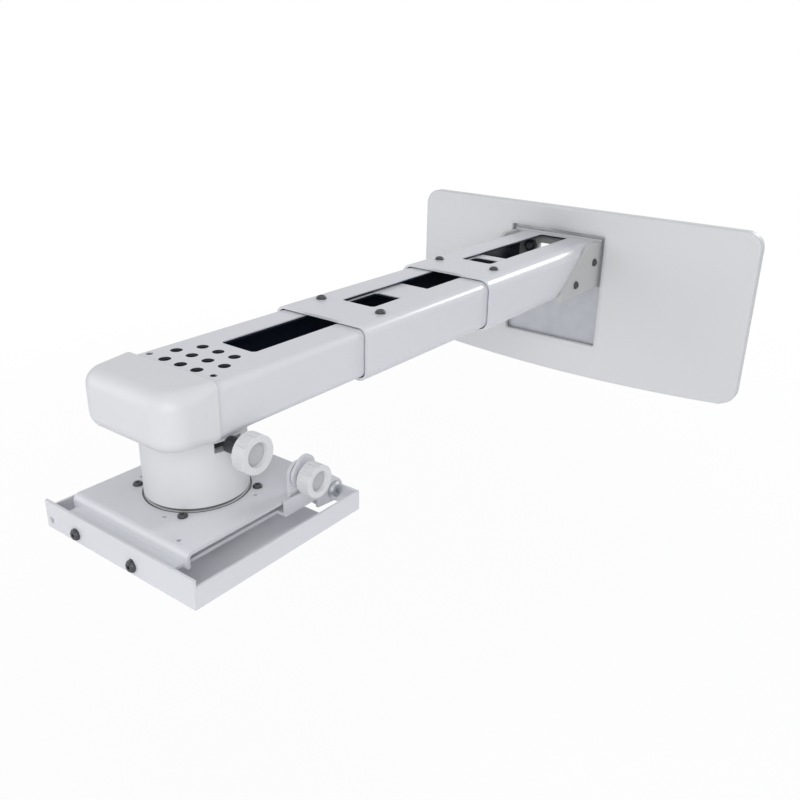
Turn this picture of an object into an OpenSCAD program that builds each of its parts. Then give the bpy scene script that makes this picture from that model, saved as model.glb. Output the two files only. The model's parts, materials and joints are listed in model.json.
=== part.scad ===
// Telescoping wall mount for a short-throw projector.
// X runs along the wall, Y into the wall, Z up, and the wall's surface is y = 0.
// The origin is the middle of the wall plate's bolt holes.

/* [Wall cover] */
// Width of the moulded cover
cover_w = 430; // [428:1:470]
// Height of the cover at its two ends
cover_h = 196; // [190:1:230]
// How far the cover stands off the wall
cover_d = 13; // [12.5:0.5:20]
// Corner radius of the cover's outline
cover_r = 18; // [8:1:30]
// Thickness of the cover's moulding
cover_t = 2.2; // [1.5:0.1:2.6]
// How far the bottom edge bows down in the middle
cover_bow = 10; // [4:1:16]
// Gap between the arm's bracket and each side of the opening
port_side = 4.5; // [2:0.5:8]
// Gap between the arm's top and the opening's top edge
port_lift = 6.5; // [4:0.5:12]
// Depth of the cable port that the opening leaves below the arm
port_drop = 75.5; // [50:0.5:80]
// Width of the bevel round the opening
port_bevel = 6; // [3:0.5:8]

/* [Wall plate] */
// Thickness of the steel wall plate
plate_t = 3; // [2:0.25:3.5]
// Free space between the cover's skirt and the plate's rim
plate_gap = 3; // [2.5:0.25:4]
// Distance between the outer holes, set by wall studs 16 inches apart
stud_spacing = 406.4; // [396:0.2:407]
// Distance between the inner holes, for a solid wall
inner_spacing = 240; // [220:1:300]
// Distance between the upper and lower holes
hole_rise = 130; // [100:1:140]
// Radius of each wall hole
wall_hole_r = 4.25; // [3:0.25:4.5]

/* [Arm] */
// Distance of the arm's middle from the plate's middle, to the left
arm_shift = 23; // [0:1:40]
// Height of the arm's middle above the plate's middle
arm_rise = 36; // [30:1:40]
// Length of the bracket's cheeks along the arm's top
gusset_top = 34; // [20:1:40]
// Length of the bracket's cheeks along the arm's bottom
gusset_len = 96; // [70:1:110]
// Width of the front tube
tube_w = 93.4; // [88:0.2:98]
// Height of the front tube
tube_h = 40.4; // [38:0.2:46]
// Outer corner radius of the front tube
tube_r = 6; // [4:0.5:9]
// Wall of each tube
tube_t = 2.4; // [1.5:0.1:3]
// Gap between one tube and the next
tube_gap = 1; // [0.8:0.1:1.5]
// Length of the wall tube
wall_tube_len = 244; // [200:1:270]
// Length of the middle tube
middle_tube_len = 284; // [250:1:300]
// Length of the front tube
front_tube_len = 289; // [270:1:320]
// How far the middle tube stands out of the wall tube
middle_out = 183; // [160:1:215]
// How far the front tube stands out of the middle tube
front_out = 152; // [150:1:200]

/* [Cable slots] */
// Width of the slots along the tubes' tops
slot_w = 36; // [20:1:38]
// Length of the wall tube's slot
wall_slot_len = 180; // [120:1:190]
// Length of the middle tube's slot
middle_slot_len = 222; // [160:1:226]
// Length of the front tube's slot
front_slot_len = 187; // [120:1:195]
// Corner radius of the slots
slot_r = 4; // [2:0.5:8]
// Radius of the round vent holes
vent_r = 4.5; // [3:0.25:5.5]
// Pitch of the vent holes, sideways and from row to row
vent_pitch = 17; // [14:0.5:18]

/* [End cap and swivel] */
// Length of the cap in front of the tube
cap_len = 42; // [38:1:50]
// Corner radius of the cap, seen from above
cap_corner = 20; // [18:1:30]
// Radius of the cap's front edges, seen from the side
cap_edge = 12; // [6:0.5:13]
// How far the cap stands proud above the tube
cap_lip = 3; // [0:0.5:4]
// How far the cap stands proud beside the tube
cap_side = 2; // [0:0.5:3]
// Wall of the casting
cap_t = 3; // [2.4:0.2:3.6]
// Distance of the swivel's axis behind the tube's front end
swivel_back = 16; // [12:1:20]
// Outer radius of the swivel column
column_r = 38; // [36:0.5:39]
// Depth of the column below the tube
column_drop = 55.8; // [50:0.2:64]
// Outer radius of the journal that the column turns on
journal_r = 30; // [27:0.5:31]
// Radius of the cable passage through the journal
passage_r = 22; // [14:0.5:23]
// Running clearance of the turning joints
running = 0.05; // [0.02:0.01:0.1]
// How far the head turns each way, in degrees
yaw_limit = 12; // [5:1:12]

/* [Tilt head] */
// Width of the top plate
top_w = 124; // [118:1:130]
// Depth of the top plate
top_d = 134; // [130:1:140]
// Thickness of the head's steel plates
head_t = 2.5; // [2:0.1:3]
// How far the tray stands out beyond each side of the top plate
tray_side = 19; // [17:0.5:25]
// How far the tray stands out in front of the top plate
tray_ahead = 11; // [9:0.5:16]
// How far the tray stands out behind the top plate
tray_behind = 15; // [13.5:0.5:20]
// Width of the tray's floor on each side of its middle opening
rail_w = 46; // [30:1:48]
// Height of the tray's front wall
tray_h = 22; // [21:0.5:26]
// Thickness of the tray's folded sheet
tray_t = 2; // [1.5:0.1:2.4]
// How far the tray's side and rear walls stop below its front wall
side_drop = 6; // [4:0.5:8]
// Sideways distance of the head's plates from the arm's middle
head_shift = 3; // [0:0.5:4]
// How far the tray tips down at the front, in degrees
pitch_limit = 8; // [3:1:8]
// How far the tray rolls each way, in degrees
roll_limit = 2.5; // [1:0.5:2.5]
// Sideways distance between the projector's screw slots
projector_x = 140; // [134:1:142]
// Front to back distance between the projector's screw slots
projector_y = 90; // [70:1:100]

/* [Knobs] */
// Radius of the yaw knob
yaw_knob_r = 14.5; // [10:0.5:15]
// Length of the yaw knob
yaw_knob_len = 14; // [10:0.5:18]
// Radius of the pitch knob
pitch_knob_r = 12.5; // [9:0.5:13]
// Length of the pitch knob
pitch_knob_len = 13; // [9:0.5:16]
// Radius of the knobs' screws
knob_screw_r = 3; // [2.5:0.25:3]

/* [Hidden] */
$fn = 48;
seat = 0.3;
thread_gap = 0.02;
cover_back = -0.5;
cover_front = -cover_d;
cover_edge = 3;
port_r = 3;
port_rim = port_bevel + 1.5;
plate_w = cover_w - 2 * (cover_t + plate_gap);
plate_h = cover_h - 2 * (cover_t + plate_gap);
plate_r = 10;
rim_depth = cover_d - cover_t - seat;
stud_r = 4;
nut_flat = 13;
nut_h = 6.5;
base_t = 4;
tube_back = -plate_t - base_t;
stud_x = 34;
stud_z = 10;
cheek_t = 4;
bow_radius = (pow(cover_w / 2, 2) + pow(cover_bow, 2)) / (2 * cover_bow);
clip_x = plate_w / 3;
clip_len = 24;
clip_front = -cover_d + cover_t + cover_edge + seat;

middle_w = tube_w + 2 * (tube_t + tube_gap);
middle_h = tube_h + 2 * (tube_t + tube_gap);
middle_r = tube_r + tube_t + tube_gap;
wall_w = middle_w + 2 * (tube_t + tube_gap);
wall_h = middle_h + 2 * (tube_t + tube_gap);
wall_r = middle_r + tube_t + tube_gap;
port_w = wall_w + 2 * (cheek_t + port_side);
port_h = port_lift + wall_h + port_drop;
port_z = wall_h / 2 + port_lift - port_h / 2;
wall_front = tube_back - wall_tube_len;
middle_front = wall_front - middle_out;
middle_back = middle_front + middle_tube_len;
front_end = middle_front - front_out;
front_back = front_end + front_tube_len;
slot_margin = 47;
front_slot_start = front_end + 61;
vent_shift = 3;
rear_bridge = 8;

lock_r = 2.5;
lock_head_r = 4.5;
lock_head_h = 2.6;
lock_x = 33;
lock_back = 38;
glide_t = tube_gap - seat;
glide_len = 35;
glide_w = 9;
glide_back = 6;

swivel_y = front_end + swivel_back;
tube_bottom = -tube_h / 2;
cap_floor = tube_bottom + tube_t + seat + cap_t;
cap_w = tube_w + 2 * cap_side;
cap_h = tube_h + cap_lip;
cap_top = tube_bottom + cap_h;
neck_z = tube_bottom - 3.8;
neck_fillet = 3.8;
column_top = neck_z - seat;
plate_z = tube_bottom - column_drop;
spigot_len = 82;
cap_screw_r = 2;
cap_head_r = 3.9;
ring_t = 4;
ring_gap = 0.4;
ring_r = journal_r + 4.6;
shoulder_z = plate_z + 6;
journal_z = shoulder_z - seat;
flange_r = 50;
flange_t = 4;
groove_h = 2.4;
groove_in = 1.6;
column_screw_r = 2;
column_screw_pcd = 88;
column_screw_turn = 36.5;
ring_screw_r = 1.6;

yaw_knob_z = column_top - 5.8;
yaw_slot_h = 2 * knob_screw_r + 1.5;
yaw_slot_angle = yaw_limit + asin(knob_screw_r / journal_r) + 0.6;
pad_r = 6;
pad_len = 12;
knob_stub = 2;

top_front = swivel_y - 64;
top_back = top_front + top_d;
top_left = head_shift - top_w / 2;
top_right = head_shift + top_w / 2;
bend_r = 5;
lip_drop = 8;
flange_bottom = plate_z - head_t - flange_t;

frame_z = flange_bottom - 2;
frame_bottom = frame_z - head_t;
ear_gap = 1.4;
pivot_y = top_back + 3;
pivot_z = frame_bottom;
pivot_r = 3;
lug_r = 9.5;
clamp_y = pivot_y - 34;
clamp_z = pivot_z + 27;
clamp_reach = sqrt(pow(clamp_y - pivot_y, 2) + pow(clamp_z - pivot_z, 2));
clamp_angle = atan2(clamp_z - pivot_z, clamp_y - pivot_y);
clamp_slack = asin(0.6 / clamp_reach);
clamp_end = [pivot_y + clamp_reach * cos(clamp_angle - pitch_limit),
             pivot_z + clamp_reach * sin(clamp_angle - pitch_limit)];
ear_front = clamp_y - 18;
ear_back = pivot_y - 18;

tray_top = plate_z - 6;
tray_z = tray_top - tray_h;
tray_w = top_w + 2 * tray_side;
tray_d = tray_ahead + top_d + tray_behind;
tray_front = top_front - tray_ahead;
tray_back = tray_front + tray_d;
flange_foot = tray_z + tray_t + 1;
tray_left = head_shift - tray_w / 2;
tray_right = head_shift + tray_w / 2;
frame_front = tray_front + tray_t + 0.4;
frame_back = tray_back - tray_t - 0.4;
roll_z = tray_z + 7;
roll_x = head_shift - 45;
roll_clamp_x = head_shift + 18;
roll_r = 2.5;
roll_reach = roll_clamp_x - roll_x;
roll_travel = roll_reach * sin(roll_limit);
roll_slack = 0.15;
projector_slot_r = 2.6;
projector_slot_len = 12;

white = [0.85, 0.86, 0.88];
warm_white = [0.83, 0.84, 0.83];
steel = [0.62, 0.65, 0.70];
dark = [0.16, 0.16, 0.17];
grey = [0.50, 0.51, 0.50];
nylon = [0.25, 0.26, 0.28];

// Moves what is drawn about the arm's middle line to its place on the plate
module on_arm() translate([-arm_shift, 0, arm_rise]) children();

// Extrudes an outline drawn in X and Z along Y
module along_y(y_from, y_to)
    translate([0, y_to, 0]) rotate([90, 0, 0]) linear_extrude(y_to - y_from) children();

// Extrudes an outline drawn in Y and Z along X
module along_x(x_from, x_to)
    translate([x_from, 0, 0]) rotate([90, 0, 90]) linear_extrude(x_to - x_from) children();

// Extrudes an outline drawn in X and Y along Z
module along_z(z_from, z_to)
    translate([0, 0, z_from]) linear_extrude(z_to - z_from) children();

module rounded_rect(w, h, r) {
    square([w - 2 * r, h], center = true);
    square([w, h - 2 * r], center = true);
    for (sx = [-1, 1], sz = [-1, 1])
        translate([sx * (w / 2 - r), sz * (h / 2 - r)]) circle(r);
}

// A bar with round ends between two points
module capsule(a, b, r) {
    length = norm(b - a);
    translate(a) circle(r);
    translate(b) circle(r);
    translate(a) rotate(atan2(b[1] - a[1], b[0] - a[0]))
        translate([0, -r]) square([length, 2 * r]);
}

// An arc-shaped slot of the given width between two angles
module arc_slot(reach, r, from, to) {
    intersection() {
        difference() {
            circle(reach + r, $fn = 96);
            circle(reach - r, $fn = 96);
        }
        polygon([[0, 0], 2 * reach * [cos(from), sin(from)], 2 * reach * [cos(to), sin(to)]]);
    }
    for (a = [from, to]) rotate(a) translate([reach, 0]) circle(r);
}

module cylinder_y(r, y_from, y_to)
    translate([0, y_to, 0]) rotate([90, 0, 0]) cylinder(r = r, h = y_to - y_from);

module cylinder_x(r, x_from, x_to)
    translate([x_from, 0, 0]) rotate([0, 90, 0]) cylinder(r = r, h = x_to - x_from);

// A button-head screw that points down, with the underside of its head at z = 0
module button_screw(r, length, head_r, head_h, key) {
    difference() {
        union() {
            translate([0, 0, -length]) cylinder(r = r, h = length);
            rotate_extrude() polygon([[0, 0], [head_r, 0], [head_r, head_h * 0.45],
                                      [head_r * 0.72, head_h], [0, head_h]]);
        }
        translate([0, 0, head_h * 0.4]) cylinder(r = key, h = head_h, $fn = 6);
    }
}

// A round knob with a fluted rim, drawn along Z from its hub to its face
module knob(r, length, hub_r, bore_r) {
    flutes = 14;
    difference() {
        rotate_extrude()
            polygon([[bore_r, 0], [hub_r, 0], [hub_r, knob_stub], [r - 1, knob_stub],
                     [r, knob_stub + 1], [r, length - 1.5], [r - 1.5, length],
                     [r * 0.68, length], [r * 0.62, length - 2.5], [r * 0.34, length - 2.5],
                     [r * 0.3, length - 0.8], [0, length - 0.8], [0, length - 4],
                     [bore_r, length - 4]]);
        for (i = [0 : flutes - 1]) rotate(i * 360 / flutes)
            translate([r + 1, 0, knob_stub - 1]) cylinder(r = 1.8, h = length, $fn = 24);
    }
}

// Wall plate, cover and bracket

module plate_outline(inset) rounded_rect(plate_w - 2 * inset, plate_h - 2 * inset, plate_r - inset);

module wall_plate() color(steel) {
    difference() {
        union() {
            along_y(-plate_t, 0) plate_outline(0);
            for (s = [-1, 1]) along_y(-rim_depth, 0)
                translate([0, s * (plate_h - plate_t) / 2])
                    square([plate_w - 2 * plate_r, plate_t], center = true);
        }
        for (sx = [-1, 1], sz = [-1, 1], spacing = [stud_spacing, inner_spacing])
            translate([sx * spacing / 2, 0, sz * hole_rise / 2])
                cylinder_y(wall_hole_r, -plate_t - 1, 1);
        on_arm() along_y(-plate_t - 1, 1) rounded_rect(2 * (stud_x - stud_r - 5), tube_h - 12, 4);
    }
    on_arm() for (sx = [-1, 1], sz = [-1, 1]) translate([sx * stud_x, 0, sz * stud_z])
        cylinder_y(stud_r, tube_back - nut_h - 2, -plate_t);
}

module cover_outline() {
    rounded_rect(cover_w, cover_h, cover_r);
    intersection() {
        translate([0, bow_radius - cover_h / 2 - cover_bow]) circle(bow_radius, $fn = 720);
        translate([0, -cover_h / 2]) square([cover_w - 2 * cover_r, 2 * cover_bow], center = true);
    }
}

// How far the bottom edge has bowed below the cover's ends at x
function bow_at(x) = sqrt(pow(bow_radius, 2) - pow(x, 2)) - bow_radius + cover_bow;

// The cover's block with its front edge rounded off
module cover_block(inset, front) {
    edge = cover_edge;
    hull() {
        along_y(front + edge, cover_back) offset(delta = -inset) cover_outline();
        along_y(front + 0.9, cover_back) offset(delta = -inset - 0.9) cover_outline();
        along_y(front, cover_back) offset(delta = -inset - edge) cover_outline();
    }
}

module wall_cover() color(warm_white) difference() {
    union() {
        difference() {
            cover_block(0, cover_front);
            translate([0, 0.01, 0]) cover_block(cover_t, cover_front + cover_t);
        }
        on_arm() translate([0, 0, port_z]) along_y(cover_front + 1, -plate_t - 1)
            rounded_rect(port_w + 2 * port_rim, port_h + 2 * port_rim, port_r + port_rim);
    }
    on_arm() translate([0, 0, port_z]) {
        along_y(cover_front - 1, 1) rounded_rect(port_w, port_h, port_r);
        // bevel round the opening
        hull() {
            along_y(cover_front - 1, cover_front)
                rounded_rect(port_w + 2 * port_bevel, port_h + 2 * port_bevel, port_r + port_bevel);
            along_y(cover_front, cover_front + port_bevel / 2) rounded_rect(port_w, port_h, port_r);
        }
    }
}

// Spring clips between the plate's rims and the cover's skirt
module cover_clips() color(steel)
    for (sx = [-1, 1], sz = [-1, 1]) translate([sx * clip_x, 0, 0]) along_x(-clip_len / 2, clip_len / 2) {
        low = plate_h / 2;
        high = low + plate_gap - seat + (sz < 0 ? bow_at(clip_x + clip_len / 2) : 0);
        leaf = 0.8;
        scale([1, sz]) {
            translate([clip_front, low]) square([-clip_front - 1, leaf]);
            translate([clip_front, low]) square([leaf, high - low]);
            translate([clip_front, high - leaf]) square([-clip_front - 3, leaf]);
        }
    }

module bracket_bolt_places()
    for (sx = [-1, 1], p = [[gusset_top / 2, 5], [gusset_len - 34, -wall_h / 4]])
        translate([sx * wall_w / 2, tube_back - p[0], p[1]]) rotate([0, sx * 90, 0]) children();

module arm_bracket() color(grey) on_arm() {
    half_w = wall_w / 2 + cheek_t;
    half_h = wall_h / 2;
    difference() {
        along_y(tube_back, -plate_t) square([2 * half_w, 2 * half_h + 4], center = true);
        along_y(tube_back - 1, 0) rounded_rect(2 * (stud_x - stud_r - 5), tube_h - 12, 4);
        for (sx = [-1, 1], sz = [-1, 1]) translate([sx * stud_x, 0, sz * stud_z])
            cylinder_y(stud_r + seat, tube_back - 1, 0);
    }
    difference() {
        for (x = [wall_w / 2, -half_w]) along_x(x, x + cheek_t)
            polygon([[tube_back, half_h], [tube_back - gusset_top, half_h],
                     [tube_back - gusset_len, -half_h + 7], [tube_back - gusset_len, -half_h],
                     [tube_back, -half_h]]);
        bracket_bolt_places() translate([0, 0, -1]) cylinder(r = lock_r + thread_gap, h = cheek_t + 2);
    }
}

module bracket_nuts() color(dark) on_arm()
    for (sx = [-1, 1], sz = [-1, 1]) translate([sx * stud_x, 0, sz * stud_z]) difference() {
        translate([0, tube_back, 0]) rotate([90, 0, 0])
            cylinder(r = nut_flat / sqrt(3), h = nut_h, $fn = 6);
        cylinder_y(stud_r + thread_gap, tube_back - nut_h - 1, 0);
    }

// Telescoping tubes

module tube(w, h, r, y_from, y_to) along_y(y_from, y_to) difference() {
    rounded_rect(w, h, r);
    rounded_rect(w - 2 * tube_t, h - 2 * tube_t, r - tube_t);
}

// A cable slot through a tube's top wall
module top_slot(h, y_from, length) translate([0, y_from + length / 2, 0])
    along_z(h / 2 - tube_t - 1, h / 2 + 1) rounded_rect(slot_w, length, slot_r);

module lock_places(h, y) for (sx = [-1, 1]) translate([sx * lock_x, y, h / 2]) children();

module lock_screws(h, y) color(dark) lock_places(h, y)
    button_screw(lock_r, tube_t + tube_gap - seat, lock_head_r, lock_head_h, 1.5);

// Nylon pads round the rear end of an inner tube, clear of the slot and the lock screws
module glides(w, h, y) color(nylon) {
    side_h = h / 2 - 4;
    for (s = [-1, 1]) {
        for (sz = [-1, 1]) translate([s * (slot_w / 2 + 1.5 + glide_w / 2), y, sz * (h + glide_t) / 2])
            cube([glide_w, glide_len, glide_t], center = true);
        translate([s * (w + glide_t) / 2, y, 0]) cube([glide_t, glide_len, side_h], center = true);
    }
}

module wall_tube() color(white) on_arm() difference() {
    tube(wall_w, wall_h, wall_r, wall_front, tube_back);
    top_slot(wall_h, tube_back - rear_bridge - wall_slot_len, wall_slot_len);
    lock_places(wall_h, wall_front + lock_back) translate([0, 0, -tube_t - 1])
        cylinder(r = lock_r + thread_gap, h = tube_t + 2);
    bracket_bolt_places() translate([0, 0, -tube_t - 1])
        cylinder(r = lock_r + thread_gap, h = tube_t + 2);
}

module wall_tube_bolts() color(dark) on_arm() bracket_bolt_places()
    translate([0, 0, cheek_t]) button_screw(lock_r, cheek_t + tube_t, lock_head_r, lock_head_h, 1.5);

module wall_tube_lock_screws() on_arm() lock_screws(wall_h, wall_front + lock_back);

module middle_tube() color(white) on_arm() difference() {
    tube(middle_w, middle_h, middle_r, middle_front, middle_back);
    top_slot(middle_h, middle_front + slot_margin, middle_slot_len);
    lock_places(middle_h, middle_front + lock_back) translate([0, 0, -tube_t - 1])
        cylinder(r = lock_r + thread_gap, h = tube_t + 2);
}

module middle_tube_glides() on_arm()
    glides(middle_w, middle_h, middle_back - glide_back - glide_len / 2);

module middle_tube_lock_screws() on_arm() lock_screws(middle_h, middle_front + lock_back);

// Three staggered rows of vent holes over the swivel
module vent_holes() {
    for (row = [0 : 2], i = [-2 : 2]) {
        x = (i + (row % 2) / 2) * vent_pitch;
        outer = abs(x) > 1.6 * vent_pitch;
        if (abs(x) < 2.2 * vent_pitch && (row < 2 || !outer))
            translate([x - vent_shift, front_end + 12 + row * vent_pitch, tube_h / 2 - tube_t - 1])
                cylinder(r = outer ? vent_r * 0.6 : vent_r, h = tube_t + 2);
    }
}

module cap_screw_places() for (sx = [-1, 1], back = [14, 5])
    translate([sx * 30, front_end + spigot_len - back, tube_bottom]) mirror([0, 0, 1]) children();

// A screw with its head sunk flush with z = 0
module flush_screw(r, length, head_r, key) difference() {
    rotate_extrude() polygon([[0, -length], [r, -length], [r, r - head_r], [head_r, 0], [0, 0]]);
    translate([0, 0, -1.2]) cylinder(r = key, h = 2, $fn = 6);
}

module flush_bore(r, length, head_r)
    rotate_extrude() polygon([[0, -length], [r, -length], [r, r - head_r], [head_r, 0], [head_r, 1], [0, 1]]);

module front_tube() color(white) on_arm() difference() {
    tube(tube_w, tube_h, tube_r, front_end, front_back);
    top_slot(tube_h, front_slot_start, front_slot_len);
    vent_holes();
    along_z(tube_bottom - 1, tube_bottom + tube_t + 1) {
        translate([0, swivel_y]) circle(column_r + seat);
        translate([-column_r - seat, front_end - 1]) square([2 * (column_r + seat), swivel_back + 1]);
    }
    cap_screw_places() flush_bore(cap_screw_r + thread_gap, tube_t + 1, cap_head_r + thread_gap);
}

module front_tube_glides() on_arm() glides(tube_w, tube_h, front_back - glide_back - glide_len / 2);

// End cap and swivel

// The cap's outline from the front, shrunk by inset all round
module cap_section(inset) translate([0, cap_lip / 2])
    rounded_rect(cap_w - 2 * inset, cap_h - 2 * inset, tube_r - inset / 2, $fn = 32);

// The cap's block, shrunk by inset all round, with each front corner swept round two radii
module cap_block(inset) hull() {
    along_y(front_end - 1, front_end) cap_section(inset);
    for (sx = [-1, 1], z = [tube_bottom + cap_edge, cap_top - cap_edge])
        translate([sx * (cap_w / 2 - cap_corner), front_end - cap_len + cap_corner, z])
            rotate(sx > 0 ? -90 : 180) rotate_extrude(angle = 90, $fn = 48) intersection() {
                translate([cap_corner - cap_edge, 0]) circle(cap_edge - inset, $fn = 32);
                translate([0, -cap_edge]) square([2 * cap_corner, 2 * cap_edge]);
            }
}

module neck_fillet_ring() intersection() {
    translate([0, swivel_y, neck_z]) rotate_extrude($fn = 96) difference() {
        translate([column_r - 1, 0]) square([neck_fillet + 1, neck_fillet]);
        translate([column_r + neck_fillet, 0]) circle(neck_fillet);
    }
    along_z(neck_z - 1, tube_bottom) translate([-tube_w, front_end - 2 * cap_len])
        square([2 * tube_w, 2 * cap_len]);
}

module end_cap() color(white) on_arm() difference() {
    union() {
        difference() {
            cap_block(0);
            cap_block(cap_t);
        }
        // shoulder that the tube's end stands against
        along_y(front_end - cap_t, front_end) difference() {
            cap_section(0);
            rounded_rect(tube_w - 2 * (tube_t + seat + cap_t), tube_h - 2 * (tube_t + seat + cap_t), 1);
        }
        // spigot inside the tube, open at the top
        along_y(front_end - cap_t - 1, front_end + spigot_len) difference() {
            rounded_rect(tube_w - 2 * (tube_t + seat), tube_h - 2 * (tube_t + seat), tube_r - tube_t);
            rounded_rect(tube_w - 2 * (tube_t + seat + cap_t), tube_h - 2 * (tube_t + seat + cap_t), 1);
            translate([-tube_w / 2, 0]) square([tube_w, tube_h]);
        }
        translate([0, swivel_y, neck_z]) cylinder(r = column_r, h = cap_floor - neck_z, $fn = 96);
        neck_fillet_ring();
        translate([0, swivel_y, journal_z]) cylinder(r = journal_r, h = cap_floor - journal_z, $fn = 96);
    }
    translate([0, swivel_y, journal_z - 1])
        cylinder(r = passage_r, h = cap_floor - journal_z + 2, $fn = 96);
    translate([0, swivel_y, yaw_knob_z]) cylinder_x(knob_screw_r + running, passage_r - 5, journal_r + 1);
    ring_screw_places(journal_z) translate([0, 0, -1]) cylinder(r = ring_screw_r + thread_gap, h = 9);
    cap_screw_places() translate([0, 0, -tube_t - seat - cap_t - 1])
        cylinder(r = cap_screw_r + thread_gap, h = cap_t + 2);
}

module cap_screws() color(dark) on_arm() cap_screw_places()
    flush_screw(cap_screw_r, tube_t + seat + cap_t, cap_head_r, 1.2);

module ring_screw_places(z) for (i = [0 : 3]) translate([0, swivel_y, z]) rotate(45 + 90 * i)
    translate([(journal_r + passage_r) / 2, 0, 0]) children();

module retaining_ring() color(steel) on_arm() difference() {
    translate([0, swivel_y, journal_z - ring_t]) difference() {
        cylinder(r = ring_r, h = ring_t, $fn = 96);
        translate([0, 0, -1]) cylinder(r = passage_r, h = ring_t + 2, $fn = 96);
    }
    ring_screw_places(journal_z - ring_t) translate([0, 0, -1])
        cylinder(r = ring_screw_r + thread_gap, h = ring_t + 2);
}

module ring_screws() color(dark) on_arm() ring_screw_places(journal_z - ring_t)
    mirror([0, 0, 1]) button_screw(ring_screw_r, ring_t + 6, 2.9, 1.7, 1);

module swivel_column() color(warm_white) on_arm() translate([0, swivel_y, 0]) difference() {
    union() {
        translate([0, 0, flange_bottom]) cylinder(r = column_r, h = column_top - flange_bottom, $fn = 96);
        translate([0, 0, flange_bottom]) cylinder(r = flange_r, h = flange_t, $fn = 96);
    }
    translate([0, 0, flange_bottom - 1])
        cylinder(r = journal_r + running, h = column_top - flange_bottom + 2, $fn = 96);
    translate([0, 0, flange_bottom - 1])
        cylinder(r = ring_r + ring_gap, h = shoulder_z - flange_bottom + 1, $fn = 96);
    // shadow groove over the top plate
    translate([0, 0, plate_z]) difference() {
        cylinder(r = column_r + 1, h = groove_h, $fn = 96);
        translate([0, 0, -1]) cylinder(r = column_r - groove_in, h = groove_h + 2, $fn = 96);
    }
    // arc slot round the yaw knob's screw
    intersection() {
        along_z(yaw_knob_z - yaw_slot_h / 2, yaw_knob_z + yaw_slot_h / 2)
            polygon([[0, 0], 2 * column_r * [cos(yaw_slot_angle), -sin(yaw_slot_angle)],
                     2 * column_r * [cos(yaw_slot_angle), sin(yaw_slot_angle)]]);
        along_z(neck_z - column_drop, neck_z) difference() {
            circle(column_r + 2, $fn = 96);
            circle(journal_r - 2, $fn = 96);
        }
    }
    column_screw_places(flange_bottom) translate([0, 0, -1])
        cylinder(r = column_screw_r + thread_gap, h = flange_t + 2);
}

module column_screw_places(z) for (i = [0 : 3]) rotate(column_screw_turn + 90 * i)
    translate([column_screw_pcd / 2, 0, z]) children();

module column_screws() color(dark) on_arm() translate([0, swivel_y, 0])
    column_screw_places(plate_z) button_screw(column_screw_r, head_t + flange_t, 3.6, 2.1, 1.2);

module yaw_knob() color(warm_white) on_arm()
    translate([column_r + seat + pad_len, swivel_y, yaw_knob_z]) rotate([0, 90, 0])
        knob(yaw_knob_r, yaw_knob_len + knob_stub, pad_r, knob_screw_r);

// Threaded into the journal, with a pad that clamps the column
module yaw_clamp_screw() color(steel) on_arm() translate([0, swivel_y, yaw_knob_z]) {
    hub = column_r + seat + pad_len;
    cylinder_x(knob_screw_r, passage_r + 0.5, hub + yaw_knob_len + knob_stub - 4);
    cylinder_x(pad_r, column_r + seat, hub);
}

// Tilt head

// A right angle bend of flat sheet, drawn in Y and Z, that turns down at the front
module bent_sheet(front, back, top, drop, t, r) {
    translate([front + r, top - t]) square([back - front - r, t]);
    translate([front, top - drop]) square([t, drop - r]);
    translate([front + r, top - r]) intersection() {
        difference() {
            circle(r);
            circle(r - t);
        }
        translate([-r, 0]) square([r, r]);
    }
}

module top_plate() color(white) on_arm() difference() {
    union() {
        along_x(top_left, top_right) bent_sheet(top_front, top_back, plate_z, lip_drop, head_t, bend_r);
        // lug that carries the pitch knob
        along_x(top_right - head_t, top_right) {
            translate([clamp_y, clamp_z]) circle(lug_r);
            translate([clamp_y - lug_r, plate_z - head_t])
                square([2 * lug_r, clamp_z - plate_z + head_t]);
        }
        // hinge flanges
        for (x = [top_left, top_right - head_t]) along_x(x, x + head_t) {
            capsule([pivot_y, pivot_z], [pivot_y - 10, pivot_z], lug_r);
            translate([pivot_y - 10 - lug_r, pivot_z]) square([10 + lug_r, plate_z - pivot_z]);
        }
    }
    translate([0, swivel_y, plate_z - 20]) cylinder(r = column_r + seat, h = 40, $fn = 96);
    translate([0, swivel_y, 0]) column_screw_places(plate_z - head_t - 1)
        cylinder(r = column_screw_r + thread_gap, h = head_t + 2);
    for (i = [0 : 3]) translate([0, swivel_y, plate_z - head_t - 1])
        rotate(column_screw_turn - 15.5 + 90 * i) translate([column_screw_pcd / 2 + 2, 0, 0])
            cylinder(r = 1.6, h = head_t + 2);
    translate([head_shift + 45, top_front + bend_r + 3, plate_z - head_t - 1])
        cylinder(r = 1.6, h = head_t + 2);
    translate([0, pivot_y, pivot_z]) cylinder_x(pivot_r + thread_gap, top_left - 1, top_right + 1);
    translate([0, clamp_y, clamp_z])
        cylinder_x(knob_screw_r + running, top_right - head_t - 1, top_right + 1);
}

module pitch_pivot_screws() color(steel) on_arm() translate([0, pivot_y, pivot_z])
    for (side = [[top_right, 90], [top_left, -90]]) translate([side[0], 0, 0]) rotate([0, side[1], 0])
        translate([0, 0, ear_gap + head_t + seat])
            button_screw(pivot_r, 2 * head_t + ear_gap + seat, 7, 3, 2);

module pitch_knob() color(warm_white) on_arm()
    translate([top_right + ear_gap + head_t + seat + knob_stub, clamp_y, clamp_z]) rotate([0, 90, 0])
        knob(pitch_knob_r, pitch_knob_len + knob_stub, pad_r, knob_screw_r);

module pitch_clamp_screw() color(steel) on_arm() translate([0, clamp_y, clamp_z]) {
    ear_face = top_right + ear_gap + head_t + seat;
    cylinder_x(knob_screw_r, top_right - head_t, ear_face + pitch_knob_len + 2 * knob_stub - 4);
    cylinder_x(pad_r, ear_face, ear_face + knob_stub);
}

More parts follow.
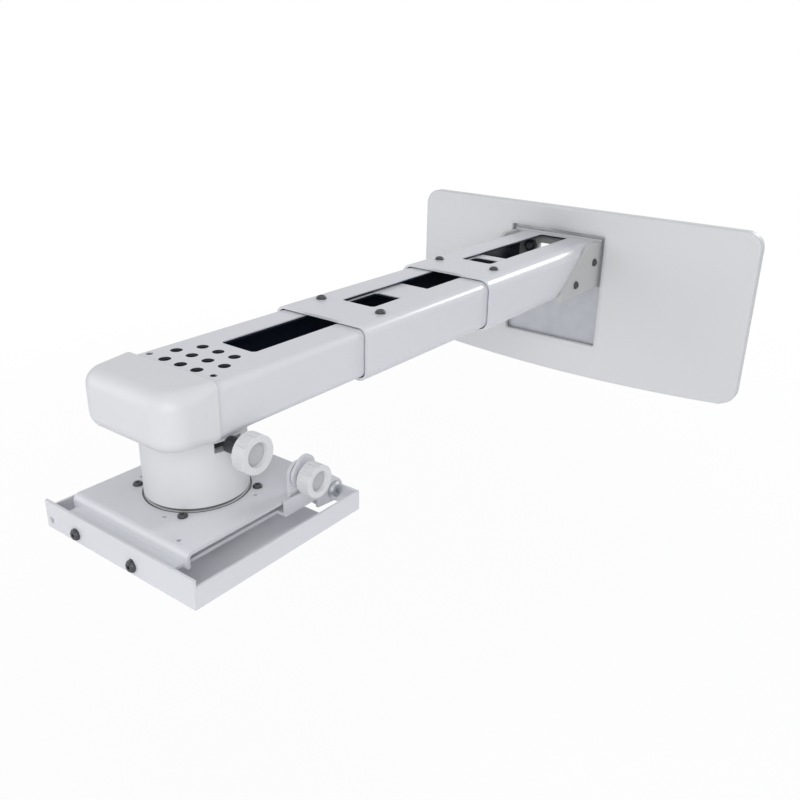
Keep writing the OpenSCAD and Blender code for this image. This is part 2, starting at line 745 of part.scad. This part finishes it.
// The ear beside the top plate, drawn in Y and Z
module ear_outline(clamp) difference() {
    union() {
        capsule([pivot_y, pivot_z], [pivot_y - 20, pivot_z + 2], lug_r);
        if (clamp) {
            capsule([pivot_y, pivot_z], [clamp_y, clamp_z], lug_r);
            capsule([clamp_y, clamp_z], clamp_end, lug_r);
        }
        translate([ear_front, frame_bottom]) square([ear_back - ear_front, clamp ? 12 : 8]);
    }
    translate([ear_front - 10, frame_bottom - 2 * lug_r])
        square([ear_back - ear_front + 10, 2 * lug_r]);
    translate([pivot_y, pivot_z]) circle(pivot_r + running);
    if (clamp) translate([pivot_y, pivot_z])
        arc_slot(clamp_reach, knob_screw_r + running, clamp_angle - pitch_limit - clamp_slack,
                 clamp_angle + clamp_slack);
}

module tilt_frame() color(white) on_arm() difference() {
    union() {
        // web between the front and rear flanges
        along_z(frame_bottom, frame_z) {
            translate([top_left + head_t + 2, frame_front]) square([top_w - 2 * head_t - 4, frame_back - frame_front]);
            translate([top_left - ear_gap, ear_front])
                square([top_w + 2 * ear_gap, ear_back - ear_front - 6]);
        }
        for (y = [frame_front, frame_back - head_t]) along_y(y, y + head_t)
            translate([roll_x - 10, flange_foot]) square([roll_reach + 24, frame_z - flange_foot]);
        along_x(top_right + ear_gap, top_right + ear_gap + head_t) ear_outline(true);
        along_x(top_left - ear_gap - head_t, top_left - ear_gap) ear_outline(false);
    }
    translate([0, swivel_y, frame_bottom - 1]) cylinder(r = flange_r + 3, h = head_t + 2, $fn = 96);
    for (x = [roll_x, roll_clamp_x]) translate([x, 0, roll_z])
        cylinder_y(roll_r + thread_gap, frame_front - 1, frame_back + 1);
}

module roll_screw_places(x)
    for (side = [[tray_front, 90], [tray_back, -90]]) translate([x, side[0], roll_z])
        rotate([side[1], 0, 0]) translate([0, 0, seat]) children();

module roll_screw() button_screw(roll_r, tray_t + head_t + 0.4 + seat, 4.5, 2.6, 1.5);

module roll_pivot_screws() color(dark) on_arm() roll_screw_places(roll_x) roll_screw();

module roll_clamp_screws() color(dark) on_arm() roll_screw_places(roll_clamp_x) roll_screw();

module projector_tray() color(warm_white) on_arm() difference() {
    mid_y = tray_front + tray_d / 2;
    side_top = tray_top - side_drop;
    union() {
        // front wall, then the lower side and rear walls
        along_y(tray_front, tray_front + tray_t) translate([tray_left, tray_z]) square([tray_w, tray_h]);
        along_z(tray_z, side_top) difference() {
            translate([head_shift, mid_y]) square([tray_w, tray_d], center = true);
            translate([head_shift, mid_y]) square([tray_w - 2 * tray_t, tray_d - 2 * tray_t], center = true);
        }
        // rails for the projector's screws
        for (x = [tray_left, tray_right - rail_w]) along_z(tray_z, tray_z + tray_t)
            translate([x, tray_front]) square([rail_w, tray_d - 26]);
    }
    for (sx = [-1, 1], sy = [-1, 1])
        translate([head_shift + sx * projector_x / 2, swivel_y - 6 + sy * projector_y / 2, 0])
            along_z(tray_z - 1, tray_z + tray_t + 1)
                capsule([projector_slot_r - projector_slot_len / 2, 0],
                        [projector_slot_len / 2 - projector_slot_r, 0], projector_slot_r);
    translate([roll_x, 0, roll_z]) cylinder_y(roll_r + running, tray_front - 1, tray_back + 1);
    translate([roll_x, 0, roll_z]) along_y(tray_front - 1, tray_back + 1)
        capsule([roll_reach, -roll_travel], [roll_reach, roll_travel], roll_r + roll_slack);
    translate([roll_x - 30, 0, roll_z]) cylinder_y(roll_r, tray_front - 1, tray_front + tray_t + 1);
}

wall_plate();
wall_cover();
cover_clips();
arm_bracket();
bracket_nuts();
wall_tube();
wall_tube_bolts();
wall_tube_lock_screws();
middle_tube();
middle_tube_glides();
middle_tube_lock_screws();
front_tube();
front_tube_glides();
end_cap();
cap_screws();
retaining_ring();
ring_screws();
yaw_knob();
yaw_clamp_screw();
swivel_column();
column_screws();
top_plate();
pitch_pivot_screws();
pitch_knob();
pitch_clamp_screw();
tilt_frame();
roll_pivot_screws();
roll_clamp_screws();
projector_tray();
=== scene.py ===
import json
import math

import bmesh
import bpy
from mathutils import Matrix, Vector

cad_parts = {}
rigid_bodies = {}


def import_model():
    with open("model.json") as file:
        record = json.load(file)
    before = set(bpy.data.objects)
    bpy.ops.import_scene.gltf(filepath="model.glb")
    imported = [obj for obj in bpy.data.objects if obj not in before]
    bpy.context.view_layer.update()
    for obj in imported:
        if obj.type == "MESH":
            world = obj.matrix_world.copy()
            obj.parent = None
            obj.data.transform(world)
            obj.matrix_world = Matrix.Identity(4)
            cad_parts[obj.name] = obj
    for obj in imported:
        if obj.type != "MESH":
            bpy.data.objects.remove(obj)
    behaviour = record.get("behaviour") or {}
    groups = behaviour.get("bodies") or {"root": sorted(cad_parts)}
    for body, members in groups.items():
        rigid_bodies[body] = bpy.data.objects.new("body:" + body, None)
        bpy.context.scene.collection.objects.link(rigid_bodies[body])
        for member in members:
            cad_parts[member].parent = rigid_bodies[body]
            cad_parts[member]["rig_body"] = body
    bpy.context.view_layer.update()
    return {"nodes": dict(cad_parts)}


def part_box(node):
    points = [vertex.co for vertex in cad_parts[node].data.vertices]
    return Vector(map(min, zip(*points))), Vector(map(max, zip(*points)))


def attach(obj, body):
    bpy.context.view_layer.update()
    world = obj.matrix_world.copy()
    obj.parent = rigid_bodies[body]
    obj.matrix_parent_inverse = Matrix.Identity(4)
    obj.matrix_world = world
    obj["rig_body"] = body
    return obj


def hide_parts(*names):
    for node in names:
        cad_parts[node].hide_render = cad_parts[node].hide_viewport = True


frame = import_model()
scene = bpy.context.scene
print("frame loaded")

# the camera as it stood for the photograph, in millimetres, degrees and pixels
view = {
    "place": (416.6, -913.2, 259.0),
    "yaw": 35.16,
    "pitch": 21.48,
    "roll": 1.7,
    "focalPixels": 819.9,
    "centre": (419.9, 380.1),
    "frame": 800.0,
    "sensor": 36,
    "near": 10,
}


def makeCamera(v):
    yaw, pitch, roll = (math.radians(v[k]) for k in ("yaw", "pitch", "roll"))
    level = math.cos(pitch)
    ahead = Vector((-math.sin(yaw) * level, math.cos(yaw) * level, -math.sin(pitch)))
    right = Vector((math.cos(yaw), math.sin(yaw), 0))
    up = right.cross(ahead)
    turnedRight = right * math.cos(roll) + up * math.sin(roll)
    turnedUp = up * math.cos(roll) - right * math.sin(roll)
    lens = bpy.data.cameras.new("camera")
    lens.sensor_width = v["sensor"]
    lens.sensor_fit = "HORIZONTAL"
    lens.lens = v["sensor"] * v["focalPixels"] / v["frame"]
    lens.shift_x = (v["frame"] / 2 - v["centre"][0]) / v["frame"]
    lens.shift_y = (v["centre"][1] - v["frame"] / 2) / v["frame"]
    lens.clip_start = v["near"] / 1000
    camera = bpy.data.objects.new("camera", lens)
    rows = Matrix((turnedRight, turnedUp, -ahead)).transposed()
    camera.matrix_world = Matrix.Translation(Vector(v["place"]) / 1000) @ rows.to_4x4()
    scene.collection.objects.link(camera)
    scene.camera = camera


makeCamera(view)

# studio: a pale floor, a white backdrop for the camera and four soft lamps, in metres and watts
studio = {
    "floorDrop": 0.42,
    "floorSize": 30,
    "floorColour": (0.93, 0.93, 0.93, 1),
    "floorRough": 0.9,
    "shadowGlow": 0.88,     # how much of the floor's own shading is hidden under the object
    "shadowNear": 0.3,
    "shadowReach": 1.6,
    "white": (1, 1, 1, 1),
    "sky": (0.78, 0.80, 0.84, 1),
    "skyStrength": 0.62,
    "mirrorShare": 0.5,
    "lamps": [
        # name, place, aim, size, power
        ("key", (1.05, -1.8, 0.7), (0.0, -0.3, 0.0), 1.5, 16.5),
        ("fill", (-1.5, -1.5, 0.4), (0.0, -0.4, 0.0), 1.4, 6.5),
        ("top", (0.2, -0.6, 1.7), (0.0, -0.4, 0.0), 1.2, 2.5),
        ("rim", (0.55, 1.5, 1.0), (0.0, -0.3, 0.03), 0.5, 12),
    ],
}


def vectorStep(nodes, links, source, operation, value=None):
    step = nodes.new("ShaderNodeVectorMath")
    step.operation = operation
    if value is not None:
        step.inputs[1].default_value = value
    links.new(source, step.inputs[0])
    return step.outputs["Value" if operation == "LENGTH" else "Vector"]


def valueStep(nodes, links, source, operation, value):
    # the value is a number or another node's output
    step = nodes.new("ShaderNodeMath")
    step.operation = operation
    if isinstance(value, float):
        step.inputs[1].default_value = value
    else:
        links.new(value, step.inputs[1])
    links.new(source, step.inputs[0])
    return step.outputs[0]


def makeSky(s):
    # the camera sees white; mirrors see some of it and the object is lit by the sky's colour
    world = bpy.data.worlds.new("studio")
    scene.world = world
    world.use_nodes = True
    nodes, links = world.node_tree.nodes, world.node_tree.links
    nodes.clear()
    lit = nodes.new("ShaderNodeBackground")
    lit.inputs["Color"].default_value = s["sky"]
    lit.inputs["Strength"].default_value = s["skyStrength"]
    seen = nodes.new("ShaderNodeBackground")
    seen.inputs["Color"].default_value = s["white"]
    path = nodes.new("ShaderNodeLightPath")
    mirrored = valueStep(nodes, links, path.outputs["Is Glossy Ray"], "MULTIPLY", s["mirrorShare"])
    clear = valueStep(nodes, links, mirrored, "MAXIMUM", path.outputs["Is Transmission Ray"])
    either = valueStep(nodes, links, path.outputs["Is Camera Ray"], "MAXIMUM", clear)
    mix = nodes.new("ShaderNodeMixShader")
    links.new(either, mix.inputs[0])
    links.new(lit.outputs[0], mix.inputs[1])
    links.new(seen.outputs[0], mix.inputs[2])
    out = nodes.new("ShaderNodeOutputWorld")
    links.new(mix.outputs[0], out.inputs[0])
    scene.view_settings.view_transform = "Standard"


def makeFloor(s):
    mesh = bpy.data.meshes.new("floor")
    bm = bmesh.new()
    bmesh.ops.create_grid(bm, x_segments=2, y_segments=2, size=s["floorSize"])
    bmesh.ops.translate(bm, vec=(0, 0, -s["floorDrop"]), verts=bm.verts)
    bm.to_mesh(mesh)
    bm.free()
    floor = bpy.data.objects.new("floor", mesh)
    scene.collection.objects.link(floor)
    paint = bpy.data.materials.new("floorPaint")
    paint.use_nodes = True
    nodes, links = paint.node_tree.nodes, paint.node_tree.links
    shader = nodes["Principled BSDF"]
    shader.inputs["Base Color"].default_value = s["floorColour"]
    shader.inputs["Roughness"].default_value = s["floorRough"]
    glow = nodes.new("ShaderNodeEmission")
    glow.inputs["Color"].default_value = s["white"]
    # the shadow shows near the object only, so the floor has no edge against the backdrop
    spot = nodes.new("ShaderNodeTexCoord")
    away = vectorStep(nodes, links, spot.outputs["Object"], "LENGTH")
    fade = nodes.new("ShaderNodeMapRange")
    fade.inputs["From Min"].default_value = s["shadowNear"]
    fade.inputs["From Max"].default_value = s["shadowReach"]
    fade.inputs["To Min"].default_value = s["shadowGlow"]
    fade.inputs["To Max"].default_value = 1.0
    links.new(away, fade.inputs["Value"])
    path = nodes.new("ShaderNodeLightPath")
    camera = path.outputs["Is Camera Ray"]
    share = valueStep(nodes, links, camera, "MULTIPLY", fade.outputs["Result"])
    blend = nodes.new("ShaderNodeMixShader")
    links.new(share, blend.inputs[0])
    links.new(shader.outputs[0], blend.inputs[1])
    links.new(glow.outputs[0], blend.inputs[2])
    links.new(blend.outputs[0], nodes["Material Output"].inputs[0])
    mesh.materials.append(paint)


def makeLamps(s):
    for name, place, aim, size, power in s["lamps"]:
        lamp = bpy.data.lights.new(name, "AREA")
        lamp.shape = "DISK"
        lamp.size = size
        lamp.energy = power
        obj = bpy.data.objects.new(name, lamp)
        turn = (Vector(aim) - Vector(place)).to_track_quat("-Z", "Y")
        obj.matrix_world = Matrix.Translation(place) @ turn.to_matrix().to_4x4()
        scene.collection.objects.link(obj)


makeSky(studio)
makeFloor(studio)
makeLamps(studio)
print("studio ready")

# finishes: colour, a second colour it drifts to, roughness, grain size per metre and bump strength
finishes = {
    "armPaint": {"colour": (0.685, 0.69, 0.72), "drift": (0.665, 0.67, 0.70),
                 "rough": 0.26, "grain": 520, "bump": 0.05},
    "castPaint": {"colour": (0.69, 0.695, 0.705), "drift": (0.665, 0.67, 0.68),
                  "rough": 0.4, "grain": 480, "bump": 0.09},
    "coverPlastic": {"colour": (0.665, 0.668, 0.672), "drift": (0.645, 0.648, 0.652),
                     "rough": 0.46, "grain": 700, "bump": 0.06},
    "knobPlastic": {"colour": (0.69, 0.695, 0.70), "drift": (0.65, 0.655, 0.66),
                    "rough": 0.45, "grain": 1500, "bump": 0.08},
    "knobInsert": {"colour": (0.50, 0.505, 0.51), "drift": (0.44, 0.445, 0.45),
                   "rough": 0.5, "grain": 1500, "bump": 0.08},
    "zincSteel": {"colour": (0.58, 0.59, 0.62), "drift": (0.47, 0.48, 0.51),
                  "rough": 0.36, "grain": 420, "bump": 0.05,
                  "metal": 0.8, "cloud": 60, "glossDrift": 0.08},
    "blackOxide": {"colour": (0.05, 0.052, 0.056), "drift": (0.075, 0.076, 0.082),
                   "rough": 0.42, "grain": 1600, "bump": 0.10, "metal": 0.4},
    # the bracket's grey is darker than the arm's paint: the darkening is painted shade of the
    # cheeks beside the arm
    "bracketPaintShaded": {"colour": (0.55, 0.555, 0.545), "drift": (0.50, 0.505, 0.495),
                     "rough": 0.45, "grain": 1200, "bump": 0.12},
    "padNylon": {"colour": (0.42, 0.425, 0.43), "drift": (0.38, 0.385, 0.39),
                 "rough": 0.5, "grain": 1500, "bump": 0.06},
}

# what a finish has unless it says otherwise
plainFinish = {"metal": 0.0, "cloud": 9, "glossDrift": 0.02, "zones": [],
               "cloudDetail": 2, "grainDetail": 3, "bumpDistance": 0.0004}

# the arm is painted outside; its inside and the cap's spigot are coloured near-black as painted
# shade, and so are the vent holes, the column's groove and a ring on the plate round the column's
# foot; the journal stays bare;
# places are in metres
# painted shade: the insides of the tubes and of the cap's spigot are coloured near-black navy
armInsideShade = {"centre": (-0.023, 0.036), "colour": (0.02, 0.028, 0.048)}
swivelLine = {"axis": (-0.023, -0.570)}
wallBoreShade = {**armInsideShade, "half": (0.0526, 0.0261), "corner": 0.0119, "behind": -0.250}
middleBoreShade = {**armInsideShade, "half": (0.0492, 0.0227), "corner": 0.0085, "behind": -0.433}
frontBoreShade = {**armInsideShade, "half": (0.0458, 0.0193), "corner": 0.0051, "behind": -0.585}
spigotShade = {**armInsideShade, "half": (0.0442, 0.0176), "corner": 0.0037, "behind": -0.588}
# painted shade: the walls of the vent holes are coloured dark
ventShade = {"axis": (-0.026, -0.557), "radius": 0.036, "heights": (0.030, 0.0560),
             "colour": (0.05, 0.055, 0.066)}
journal = {**swivelLine, "radius": 0.0302, "heights": (-0.06, 0.0118),
           "colour": (0.05, 0.052, 0.056)}
# painted shade: the column's groove is coloured dark grey
grooveShade = {**swivelLine, "radius": 0.0372, "heights": (-0.0400, -0.0377),
          "colour": (0.13, 0.13, 0.13)}
# painted shadow: a dark ring on the top plate round the column's foot
footShadow = {**swivelLine, "radius": 0.0393, "heights": (-0.0430, -0.0395),
           "colour": (0.10, 0.10, 0.10)}

zonedFinishes = {
    # finish: the paint it starts from, its zones
    "wallTubePaint": ("armPaint", [wallBoreShade]),
    "middleTubePaint": ("armPaint", [middleBoreShade]),
    "frontTubePaint": ("armPaint", [frontBoreShade, ventShade]),
    "capPaint": ("castPaint", [spigotShade, journal]),
    "columnPaint": ("castPaint", [grooveShade]),
    "platePaint": ("armPaint", [footShadow]),
}
for name, (paint, zones) in zonedFinishes.items():
    finishes[name] = {**finishes[paint], "zones": zones}


def axisOf(nodes, links, spot, letter):
    split = nodes.new("ShaderNodeSeparateXYZ")
    links.new(spot, split.inputs[0])
    return split.outputs[letter]


def insideBore(nodes, links, spot, zone):
    # 1 inside a rounded box across X and Z, behind a plane across Y, else 0
    x, z = zone["centre"]
    wide, high = zone["half"]
    corner = zone["corner"]
    point = vectorStep(nodes, links, spot, "SUBTRACT", (x, 0, z))
    point = vectorStep(nodes, links, point, "MULTIPLY", (1, 0, 1))
    point = vectorStep(nodes, links, point, "ABSOLUTE")
    point = vectorStep(nodes, links, point, "SUBTRACT", (wide - corner, 0, high - corner))
    point = vectorStep(nodes, links, point, "MAXIMUM", (0, 0, 0))
    away = vectorStep(nodes, links, point, "LENGTH")
    within = valueStep(nodes, links, away, "LESS_THAN", corner)
    along = axisOf(nodes, links, spot, "Y")
    behind = valueStep(nodes, links, along, "GREATER_THAN", zone["behind"])
    return valueStep(nodes, links, within, "MULTIPLY", behind)


def insideRound(nodes, links, spot, zone):
    # 1 inside an upright cylinder between two heights, else 0
    x, y = zone["axis"]
    low, high = zone["heights"]
    point = vectorStep(nodes, links, spot, "SUBTRACT", (x, y, 0))
    point = vectorStep(nodes, links, point, "MULTIPLY", (1, 1, 0))
    away = vectorStep(nodes, links, point, "LENGTH")
    within = valueStep(nodes, links, away, "LESS_THAN", zone["radius"])
    height = axisOf(nodes, links, spot, "Z")
    above = valueStep(nodes, links, height, "GREATER_THAN", low)
    below = valueStep(nodes, links, height, "LESS_THAN", high)
    between = valueStep(nodes, links, above, "MULTIPLY", below)
    return valueStep(nodes, links, between, "MULTIPLY", within)


def colourStep(nodes, links, share, first, second):
    # goes from the first colour to the second; the first is a colour or another node's output
    mix = nodes.new("ShaderNodeMix")
    mix.data_type = "RGBA"
    socketA, socketB, result = mix.inputs[6], mix.inputs[7], mix.outputs[2]
    if isinstance(first, tuple):
        socketA.default_value = (*first, 1)
    else:
        links.new(first, socketA)
    socketB.default_value = (*second, 1)
    links.new(share, mix.inputs[0])
    return result


def makeFinish(name, finish):
    f = {**plainFinish, **finish}
    material = bpy.data.materials.new(name)
    material.use_nodes = True
    nodes, links = material.node_tree.nodes, material.node_tree.links
    shader = nodes["Principled BSDF"]
    shader.inputs["Metallic"].default_value = f["metal"]
    place = nodes.new("ShaderNodeTexCoord")
    cloud = nodes.new("ShaderNodeTexNoise")
    cloud.inputs["Scale"].default_value = f["cloud"]
    cloud.inputs["Detail"].default_value = f["cloudDetail"]
    grain = nodes.new("ShaderNodeTexNoise")
    grain.inputs["Scale"].default_value = f["grain"]
    grain.inputs["Detail"].default_value = f["grainDetail"]
    spot = place.outputs["Object"]
    for noise in (cloud, grain):
        links.new(spot, noise.inputs["Vector"])
    colour = colourStep(nodes, links, cloud.outputs["Fac"], f["colour"], f["drift"])
    # each zone lays its colour over the paint: painted shade in the arm, the vents, the groove and
    # round the column's foot, bare steel on the journal
    for zone in f["zones"]:
        inside = insideRound if "axis" in zone else insideBore
        colour = colourStep(nodes, links, inside(nodes, links, spot, zone), colour, zone["colour"])
    links.new(colour, shader.inputs["Base Color"])
    gloss = nodes.new("ShaderNodeMapRange")
    gloss.inputs["To Min"].default_value = f["rough"] - f["glossDrift"]
    gloss.inputs["To Max"].default_value = f["rough"] + f["glossDrift"]
    links.new(cloud.outputs["Fac"], gloss.inputs["Value"])
    links.new(gloss.outputs["Result"], shader.inputs["Roughness"])
    bump = nodes.new("ShaderNodeBump")
    bump.inputs["Strength"].default_value = f["bump"]
    bump.inputs["Distance"].default_value = f["bumpDistance"]
    links.new(grain.outputs["Fac"], bump.inputs["Height"])
    links.new(bump.outputs["Normal"], shader.inputs["Normal"])
    return material


material = {name: makeFinish(name, f) for name, f in finishes.items()}
print("finishes ready")


def addPiece(name, bm, finish, node, sharp):
    # a finished mesh becomes an object that rides with the node it stands for
    for face in bm.faces:
        face.smooth = True
    mesh = bpy.data.meshes.new(name)
    bm.to_mesh(mesh)
    bm.free()
    mesh.set_sharp_from_angle(angle=math.radians(sharp))
    mesh.materials.append(material[finish])
    piece = bpy.data.objects.new(name, mesh)
    scene.collection.objects.link(piece)
    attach(piece, frame["nodes"][node]["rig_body"])
    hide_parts(node)
    even = piece.modifiers.new("evenShading", "WEIGHTED_NORMAL")
    even.keep_sharp = True
    return piece


# pieces whose CAD shape is right: their edges are eased, as a press, a mould or paint leaves them
eased = {
    # piece: node, finish, width of the eased edge in mm, steps
    "wallPlate": ("wall_plate", "zincSteel", 0.5, 2),
    "coverShell": ("wall_cover", "coverPlastic", 0.8, 3),
    "armBracket": ("arm_bracket", "bracketPaintShaded", 0.5, 2),
    "wallTube": ("wall_tube", "wallTubePaint", 0.6, 3),
    "middleTube": ("middle_tube", "middleTubePaint", 0.6, 3),
    "frontTube": ("front_tube", "frontTubePaint", 0.5, 3),
    "endCap": ("end_cap", "capPaint", 0.5, 2),
    "swivelColumn": ("swivel_column", "columnPaint", 0.4, 2),
    "topPlate": ("top_plate", "platePaint", 0.5, 3),
    "tiltFrame": ("tilt_frame", "armPaint", 0.5, 2),
    "projectorTray": ("projector_tray", "armPaint", 0.5, 3),
}

# lengths in mm and angles in degrees
easing = {
    "weld": 0.002,      # corners nearer than this are one
    "flat": 0.4,        # faces that turn less than this are joined
    "edge": 40,         # edges that turn more than this are eased
    "sharp": 32,
}

# the top plate's front lip hangs down over the tilting frame's edge
frontLip = {"node": "top_plate", "front": -625, "below": -46.8, "drop": 3.5}


def turnsMore(edge, degrees):
    return len(edge.link_faces) == 2 and edge.calc_face_angle(0) > math.radians(degrees)


def bevelEdges(bm, edges, width, steps):
    bmesh.ops.bevel(bm, geom=edges, offset=width / 1000, offset_type="OFFSET", segments=steps,
                    profile=0.5, affect="EDGES", clamp_overlap=True, material=-1)


def easeEdges(name, node, finish, width, steps):
    bm = bmesh.new()
    bm.from_mesh(frame["nodes"][node].data)
    bmesh.ops.remove_doubles(bm, verts=bm.verts, dist=easing["weld"] / 1000)
    bmesh.ops.dissolve_limit(bm, angle_limit=math.radians(easing["flat"]),
                             verts=bm.verts, edges=bm.edges)
    bevelEdges(bm, [e for e in bm.edges if turnsMore(e, easing["edge"])], width, steps)
    if node == frontLip["node"]:
        front, below, drop = (frontLip[k] / 1000 for k in ("front", "below", "drop"))
        lip = [v for v in bm.verts if v.co.y < front and v.co.z < below]
        bmesh.ops.translate(bm, verts=lip, vec=(0, 0, -drop))
    addPiece(name, bm, finish, node, easing["sharp"])


for name, (node, finish, width, steps) in eased.items():
    easeEdges(name, node, finish, width, steps)
print("sheet and cast pieces ready")

# the knobs, in mm: a fluted rim, a raised ring and a grey insert sunk inside it
knobs = {
    "yawKnob": {"node": "yaw_knob", "fluteDepth": 0.9, "round": 1.6, "ring": 5.2, "sink": 3.4,
                "hub": 5.5, "stub": 5.0},
    "pitchKnob": {"node": "pitch_knob", "fluteDepth": 0.8, "round": 1.4, "ring": 4.4, "sink": 3.0,
                  "hub": 5.5, "stub": 3.5},
}
knobDetail = {
    "flutes": 9,
    "facesPerFlute": 4,
    "fluteEdge": 0.2,
    "recessDraft": 0.4,
    "insertGap": 1.2,
    "insertDraft": 0.3,
    "insertLift": 0.6,
    "hubDraft": 0.1,
    "roundSteps": 3,
    "roundEdge": 30,        # degrees
    "outer": 0.8,           # share of the radius that counts as the outline
    "sharp": 40,            # degrees
}


def makeKnob(name, k):
    mm = {key: value / 1000 for key, value in k.items() if key != "node"}
    d = knobDetail
    low, high = (Vector(c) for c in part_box(k["node"]))
    radius = (high.z - low.z) / 2
    length = high.x - low.x - mm["stub"]
    bm = bmesh.new()
    bmesh.ops.create_cone(bm, cap_ends=True, cap_tris=False, depth=length,
                          segments=d["facesPerFlute"] * d["flutes"],
                          radius1=radius, radius2=radius)
    # one face in four round the rim sinks in as a flute
    rim = [f for f in bm.faces if abs(f.normal.z) < 0.5]
    rim.sort(key=lambda f: math.atan2(f.calc_center_median().y, f.calc_center_median().x))
    bmesh.ops.inset_individual(bm, faces=rim[::d["facesPerFlute"]],
                               thickness=d["fluteEdge"] / 1000, depth=-mm["fluteDepth"])
    # the outer face gets its ring, its recess and the insert's edge
    face = max(bm.faces, key=lambda f: f.calc_center_median().z)
    insets = [(mm["ring"], 0.0), (d["recessDraft"] / 1000, -mm["sink"]),
              (d["insertGap"] / 1000, 0.0), (d["insertDraft"] / 1000, d["insertLift"] / 1000)]
    for thickness, depth in insets:
        bmesh.ops.inset_region(bm, faces=[face], thickness=thickness, depth=depth)
    # the inner face keeps a hub that meets the clamp screw's collar
    back = min(bm.faces, key=lambda f: f.calc_center_median().z)
    bmesh.ops.inset_region(bm, faces=[back], thickness=radius - mm["hub"], depth=0.0)
    bmesh.ops.inset_region(bm, faces=[back], thickness=d["hubDraft"] / 1000, depth=mm["stub"])
    sunk = [f for f in bm.faces if f.normal.z > 0.7
            and f.calc_center_median().z < length / 2 - mm["sink"] / 2
            and f.calc_center_median().to_2d().length < radius - mm["ring"]]
    outline = [e for e in bm.edges if turnsMore(e, d["roundEdge"])
               and min(v.co.to_2d().length for v in e.verts) > radius * d["outer"]]
    bevelEdges(bm, outline, k["round"], d["roundSteps"])
    for f in sunk:
        if f.is_valid:
            f.material_index = 1
    # from upright to pointing along X, hub towards the arm
    turn = Matrix.Rotation(math.radians(90), 3, "Y")
    bmesh.ops.rotate(bm, verts=bm.verts, cent=(0, 0, 0), matrix=turn)
    middle = (low + high) / 2 + Vector((mm["stub"] / 2, 0, 0))
    bmesh.ops.translate(bm, verts=bm.verts, vec=middle)
    knob = addPiece(name, bm, "knobPlastic", k["node"], d["sharp"])
    knob.data.materials.append(material["knobInsert"])


for name, k in knobs.items():
    makeKnob(name, k)
print("knobs ready")

# small CAD nodes that keep their own mesh
nodeFinishes = {
    "blackOxide": ["bracket_nuts", "wall_tube_bolts", "wall_tube_lock_screws",
                   "middle_tube_lock_screws", "cap_screws", "ring_screws", "yaw_clamp_screw",
                   "column_screws", "roll_pivot_screws", "roll_clamp_screws"],
    "zincSteel": ["cover_clips", "retaining_ring", "pitch_pivot_screws", "pitch_clamp_screw"],
    "padNylon": ["middle_tube_glides", "front_tube_glides"],
}
for finish, names in nodeFinishes.items():
    for name in names:
        node = frame["nodes"][name]
        node.data.materials.clear()
        node.data.materials.append(material[finish])
print("small nodes ready")
